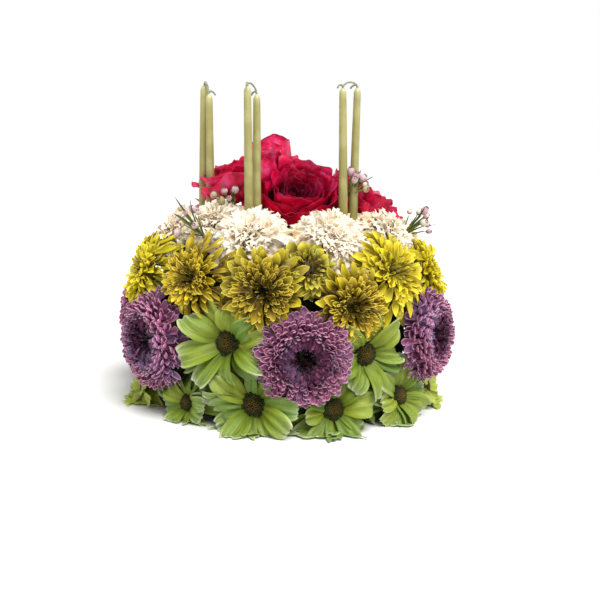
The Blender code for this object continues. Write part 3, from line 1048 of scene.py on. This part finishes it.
# ---------------------------------------------------------------- bud sprigs
# Four sprigs of waxflower and berry tucked between the carnations and the roses: thin olive stalks,
# closed buds from white to pinkish lilac with a brown star on top, and a few needle leaves.
SPRIG_EYE = (0.75, 0.95)
BUDS_ON_SPRIG = 8
BUD_RADIUS = (1.5 * MM, 3.2 * MM)
BUD_STEPS = 10
STALK_RADIUS = 0.55 * MM
NEEDLES_ON_SPRIG = 7
NEEDLE_HALF_WIDTH = 0.8 * MM
NEEDLE_THICKNESS = 0.3 * MM
STALK_RING, NEEDLE_RING = 1.0, 2.0  # the rings that mark stalks and needles; buds have 0
# A bud's outline as shares of its radius: a round flask with a small open crown.
BUD_PROFILE = (
    (0.0, -1.05),
    (0.35, -1.0),
    (0.80, -0.62),
    (1.0, -0.05),
    (0.86, 0.52),
    (0.52, 0.84),
    (0.50, 1.02),
    (0.34, 0.92),
    (0.0, 0.62),
)


def around(spot, side, other, turn, girth):
    """A point at some turn and distance round a line."""
    return spot + (side * math.cos(turn) + other * math.sin(turn)) * girth


def stalk(line):
    """The place function of a thin stalk, the blank rolled up into a tube along a Bezier curve."""

    def place(u, v):
        spot, run = on_curve(line, v)
        run.normalize()
        side = run.orthogonal().normalized()
        girth = STALK_RADIUS * (1.0 if 0.02 < v < 0.98 else 0.02)
        return around(spot, side, run.cross(side), math.pi * u, girth)

    return place


def bud(head, radius, tip, girth):
    """One closed bud that stands on its stalk's end."""
    bm = spun(BUD_PROFILE, BUD_STEPS)
    mark, _ = marks_on(bm)
    tone = draw.random()
    for vert in bm.verts:
        vert[mark] = (0.5, 0.5 + 0.48 * vert.co.z, tone)
    up = (head.to_3x3() @ Vector((tip.x, tip.y, 1.1 * radius))).normalized()
    swollen = Matrix.Diagonal((girth, girth, girth * draw.uniform(0.95, 1.25), 1))
    bm.transform(facing_frame(head @ tip + up * girth, up) @ swollen)
    return bm


def needle(head, radius, number):
    """A narrow grey-green leaf that springs from the sprig's foot and curves outward."""
    lean = math.radians(draw.uniform(35, 80))
    length = radius * draw.uniform(1.2, 1.9)
    tip = heading(lean) * length
    middle = (Vector((0, -radius)), Vector((0.1 * radius, -0.2 * radius)), tip * 0.6, tip)
    turn = number * GOLDEN_TURN
    roll = draw.uniform(-0.5, 0.5)
    place = petal_on(head, turn, middle, NEEDLE_HALF_WIDTH, pointed_outline, lambda v: 0.4, roll)
    return place, NEEDLE_RING, draw.random()


def join(parts):
    """Several meshes made one, with their marks."""
    whole = bmesh.new()
    marks_on(whole)
    for part in parts:
        mesh = bpy.data.meshes.new("part")
        part.to_mesh(mesh)
        part.free()
        whole.from_mesh(mesh)
        bpy.data.meshes.remove(mesh)
    return whole


def sprig(head, radius):
    """One sprig: stalks that fan out of the cake, each with its bud, and needle leaves between."""
    root = head @ Vector((0, 0, -1.2 * radius))
    tips = []
    for number in range(BUDS_ON_SPRIG):
        share = math.sqrt((number + 0.5) / BUDS_ON_SPRIG)
        turn = number * GOLDEN_TURN + draw.uniform(-0.3, 0.3)
        spread = 0.95 * radius * share
        rise = radius * (0.75 - 0.75 * share * share) + draw.uniform(-0.2, 0.4) * radius
        tips.append(Vector((spread * math.cos(turn), spread * math.sin(turn), rise)))
    girths = [draw.uniform(*BUD_RADIUS) for _ in tips]

    def stem(number):
        end = head @ tips[number]
        up = (head.to_3x3() @ Vector((tips[number].x, tips[number].y, radius))).normalized()
        line = (root, root.lerp(end, 0.35) + up * MM, end - up * (0.5 * radius), end)
        return stalk(line), STALK_RING, 0.0

    stems = shaped_blanks(BUDS_ON_SPRIG, 6, 6, stem)
    bmesh.ops.remove_doubles(stems, verts=stems.verts, dist=WELD)
    buds = [bud(head, radius, tip, girth) for tip, girth in zip(tips, girths)]
    needles = shaped_petals(
        NEEDLES_ON_SPRIG, 2, 6, NEEDLE_THICKNESS, lambda number: needle(head, radius, number)
    )
    return join([stems, *buds, needles])


def waxflower():
    """Waxflower buds and stalks: waxy, white to pinkish lilac, with a brown star in the open crown."""
    material, tree = start_material("waxflower_bud", 0.40, Specular_IOR_Level=0.4)
    _, along, tone, ring = petal_marks(tree)
    body = node(
        tree,
        "ShaderNodeValToRGB",
        {"Fac": tone},
        stops=(
            (0.0, "#e8dccf"),
            (0.35, "#cfb0b6"),
            (0.65, "#b88fa2"),
            (0.85, "#bba880"),
            (1.0, "#848e58"),
        ),
    )
    body = coated(tree, body, "#a3a56a", (along, 0.40, 0.05, 0.0, 0.6))
    body = coated(tree, body, "#7a4a3c", (along, 0.86, 0.94, 0.0, 1.0))
    body = coated(tree, body, "#76803c", (ring, 0.4, 0.9, 0.0, 1.0))
    body = coated(tree, body, "#4c5c2a", (ring, 1.4, 1.9, 0.0, 1.0))
    place = node(tree, "ShaderNodeTexCoord", out="Object")
    fine = node(tree, "ShaderNodeTexNoise", {"Vector": place, "Scale": 1 / (0.8 * MM), "Detail": 2.0})
    return faced(material, body, fine, 0.25, 0.1 * MM)


wax_bud = waxflower()
for name in nodes_called("bud_sprig"):
    head, radius = head_of(name, SPRIG_EYE)
    finish_piece(f"{name}_stems", sprig(head, radius), wax_bud, "bud", name)

# ---------------------------------------------------------------- tapers
# Three pairs of hand-dipped tapers pushed into the foam. Each pair was dipped on one wick, which is
# still uncut and loops between the two noses. The wax is pale ivory green with a soft satin face.
TAPER_SIDES = 20
TAPER_RINGS = 26
TAPER_WAVE = 0.018  # how far dipping leaves the girth off true, as a share of it
TAPER_SWAY = 0.25 * MM
NOSE_HEIGHT = 4.0 * MM
NOSE_TIP = 0.4 * MM
FOOT_RING = 2.0 * MM  # a node's corners this close above its lowest make its foot
SHOULDER_RING = 1.2 * MM
WICK_RADIUS = 0.80 * MM
WICK_LIFT = 5.0 * MM
WICK_TAIL = 5.5 * MM  # a loose end beside each nose
WICK_PLIES = 3
WICK_TWIST = 26.0
WICK_ASIDE = Vector((0.3, 0.9, 0.1))  # a way that no wick runs
WICK_RING = 1.0  # the ring that marks a wick; the wax has 0


def taper_axes(name):
    """The two tapers of a pair, read from their node: foot, shoulder, and the radius at each."""
    places = {corner_key(vert.co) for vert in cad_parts[name].data.vertices}
    places = [Vector(place) for place in places]
    low = min(place.z for place in places)
    feet = [place for place in places if place.z < low + FOOT_RING]
    first = max(feet, key=lambda place: (place - feet[0]).length)
    second = max(feet, key=lambda place: (place - first).length)
    for near, far in ((first, second), (second, first)):
        half = [p for p in places if (p - near).to_2d().length < (p - far).to_2d().length]
        foot = [p for p in half if p.z < low + FOOT_RING]
        above = [p for p in half if p.z >= low + FOOT_RING]
        shoulder_z = min(p.z for p in above)
        rim = [p for p in above if p.z < shoulder_z + SHOULDER_RING]
        ends = []
        for ring in (foot, rim):
            middle = sum(ring, Vector()) / len(ring)
            ends.append((middle, sum((p - middle).length for p in ring) / len(ring)))
        yield ends


def dipped_taper(ends):
    """A taper as it comes from the dipping vat: nearly straight, slightly wavy, with a soft nose."""
    (foot, foot_radius), (rim, rim_radius) = ends
    length = (rim - foot).length
    profile = [(0.0, 0.0)]
    for step in range(TAPER_RINGS + 1):
        share = step / TAPER_RINGS
        girth = foot_radius + (rim_radius - foot_radius) * share
        girth *= 1 + draw.uniform(-TAPER_WAVE, TAPER_WAVE)
        profile.append((girth, share * length))
    for share in (0.25, 0.5, 0.75, 0.95):
        profile.append((rim_radius * (1 - share**1.6) + NOSE_TIP * share, length + NOSE_HEIGHT * share))
    profile.append((0.0, length + NOSE_HEIGHT))
    bm = spun(profile, TAPER_SIDES)
    mark, _ = marks_on(bm)
    for vert in bm.verts:
        share = vert.co.z / (length + NOSE_HEIGHT)
        vert[mark] = (0.5, share, 0.5)
        vert.co.x += TAPER_SWAY * math.sin(3.1 * share + foot.x * 900)
    way = (rim - foot).normalized()
    bm.transform(facing_frame(foot, way))
    return bm, rim + way * NOSE_HEIGHT, way


def loop_over(near, far):
    """The middle line of the uncut wick, from one nose up and over to the other."""
    (start, start_way), (end, end_way) = near, far
    lift = Vector((0, 0, WICK_LIFT))
    return start - start_way * MM, start + lift, end + lift, end - end_way * MM


def loose_end(nose, way):
    """The middle line of a frayed end that springs from a nose and droops."""
    turn = draw.uniform(0, math.tau)
    aside = Vector((math.cos(turn), math.sin(turn), 0)) * WICK_TAIL
    return nose - way * MM, nose + way * 3 * MM, nose + aside * 0.7 + way * 2 * MM, nose + aside - way * MM


def wick(line):
    """Plies of cotton twisted together along a middle line."""

    def ply(number):
        def place(u, v):
            spot, run = on_curve(line, v)
            run.normalize()
            side = run.cross(WICK_ASIDE).normalized()
            other = run.cross(side)
            turn = WICK_TWIST * v + number * math.tau / WICK_PLIES
            spot = around(spot, side, other, turn, 0.45 * WICK_RADIUS)
            return around(spot, side, other, math.pi * u, 0.55 * WICK_RADIUS)

        return place, WICK_RING, 0.5

    bm = shaped_blanks(WICK_PLIES, 6, 36, ply)
    bmesh.ops.remove_doubles(bm, verts=bm.verts, dist=WELD)
    bmesh.ops.holes_fill(bm, edges=bm.edges, sides=8)
    bmesh.ops.recalc_face_normals(bm, faces=bm.faces)
    return bm


def dipped_wax():
    """Beeswax blend with a green tint: satin, slightly translucent, darker towards the foot and paler towards
    the nose.
    """
    material, tree = start_material(
        "dipped_taper_wax",
        0.34,
        Specular_IOR_Level=0.45,
        Subsurface_Weight=0.35,
        Subsurface_Scale=3 * MM,
        Subsurface_Radius=(1.0, 1.0, 0.6),
    )
    _, along, _, ring = petal_marks(tree)
    body = node(
        tree,
        "ShaderNodeValToRGB",
        {"Fac": along},
        stops=((0.0, "#877d3c"), (0.5, "#989156"), (0.93, "#a39d62"), (1.0, "#c4c294")),
    )
    place = node(tree, "ShaderNodeTexCoord", out="Object")
    cloud = node(tree, "ShaderNodeTexNoise", {"Vector": place, "Scale": 1 / (12 * MM), "Detail": 2.0})
    body = coated(tree, body, "#ccc690", (cloud, 0.4, 0.7, 0.0, 0.3))
    body = coated(tree, body, "#989c84", ring)
    fine = node(tree, "ShaderNodeTexNoise", {"Vector": place, "Scale": 1 / (3 * MM), "Detail": 2.0})
    return faced(material, body, fine, 0.2, 0.2 * MM)


taper_wax = dipped_wax()
for name in nodes_called("taper_pair"):
    parts = []
    noses = []
    for ends in taper_axes(name):
        taper, nose, way = dipped_taper(ends)
        parts.append(taper)
        noses.append((nose, way))
    parts.append(wick(loop_over(*noses)))
    parts += [wick(loose_end(nose, way)) for nose, way in noses]
    finish_piece(f"{name}_wax", join(parts), taper_wax, "wax", name)

# ---------------------------------------------------------------- studio
# A plain pale floor that runs to the horizon, one broad soft light above and a little in front, and
# a white surround. The camera stands level with the cake's top and looks slightly down.
FLOOR_RADIUS = 8.0
KEY_STRENGTH = 3.7
KEY_SPREAD = math.radians(40)
KEY_FROM = Vector((0.32, -0.58, 1.12))
SURROUND_LIGHT = 0.55  # strength of the surround as a light; seen directly it is plain white
CAMERA_PLACE = (0.0, -0.647, 0.176)
CAMERA_PITCH = math.radians(81.03)
CAMERA_ROLL = math.radians(1.29)
CAMERA_LENS = 48.16
CAMERA_SHIFT = 0.0233

floor_bm = bmesh.new()
bmesh.ops.create_circle(floor_bm, cap_ends=True, segments=64, radius=FLOOR_RADIUS)
floor_mesh = bpy.data.meshes.new("floor")
floor_bm.to_mesh(floor_mesh)
floor_bm.free()
pale_floor, _ = start_material("pale_floor", 0.9, Base_Color=linear("#f4f4f2"))
floor_mesh.materials.append(pale_floor)
floor = bpy.data.objects.new("floor", floor_mesh)
bpy.context.scene.collection.objects.link(floor)

key = bpy.data.lights.new("key", "SUN")
key.energy = KEY_STRENGTH
key.angle = KEY_SPREAD
key_lamp = bpy.data.objects.new("key", key)
key_lamp.rotation_euler = KEY_FROM.to_track_quat("Z", "Y").to_euler()
bpy.context.scene.collection.objects.link(key_lamp)

world = bpy.data.worlds.new("white_surround")
world.use_nodes = True
surround = world.node_tree.nodes["Background"]
surround.inputs["Color"].default_value = linear("#ffffff")
seen = node(world.node_tree, "ShaderNodeLightPath", out="Is Camera Ray")
strength = share_of(world.node_tree, (seen, 0.0, 1.0, SURROUND_LIGHT, 1.0))
world.node_tree.links.new(strength, surround.inputs["Strength"])
bpy.context.scene.world = world
bpy.context.scene.view_settings.view_transform = "Standard"

camera_data = bpy.data.cameras.new("camera")
camera_data.lens = CAMERA_LENS
camera_data.shift_x = CAMERA_SHIFT
camera = bpy.data.objects.new("camera", camera_data)
aimed = Matrix.Rotation(CAMERA_PITCH, 4, "X") @ Matrix.Rotation(CAMERA_ROLL, 4, "Z")
camera.matrix_world = Matrix.Translation(CAMERA_PLACE) @ aimed
bpy.context.scene.collection.objects.link(camera)
bpy.context.scene.camera = camera
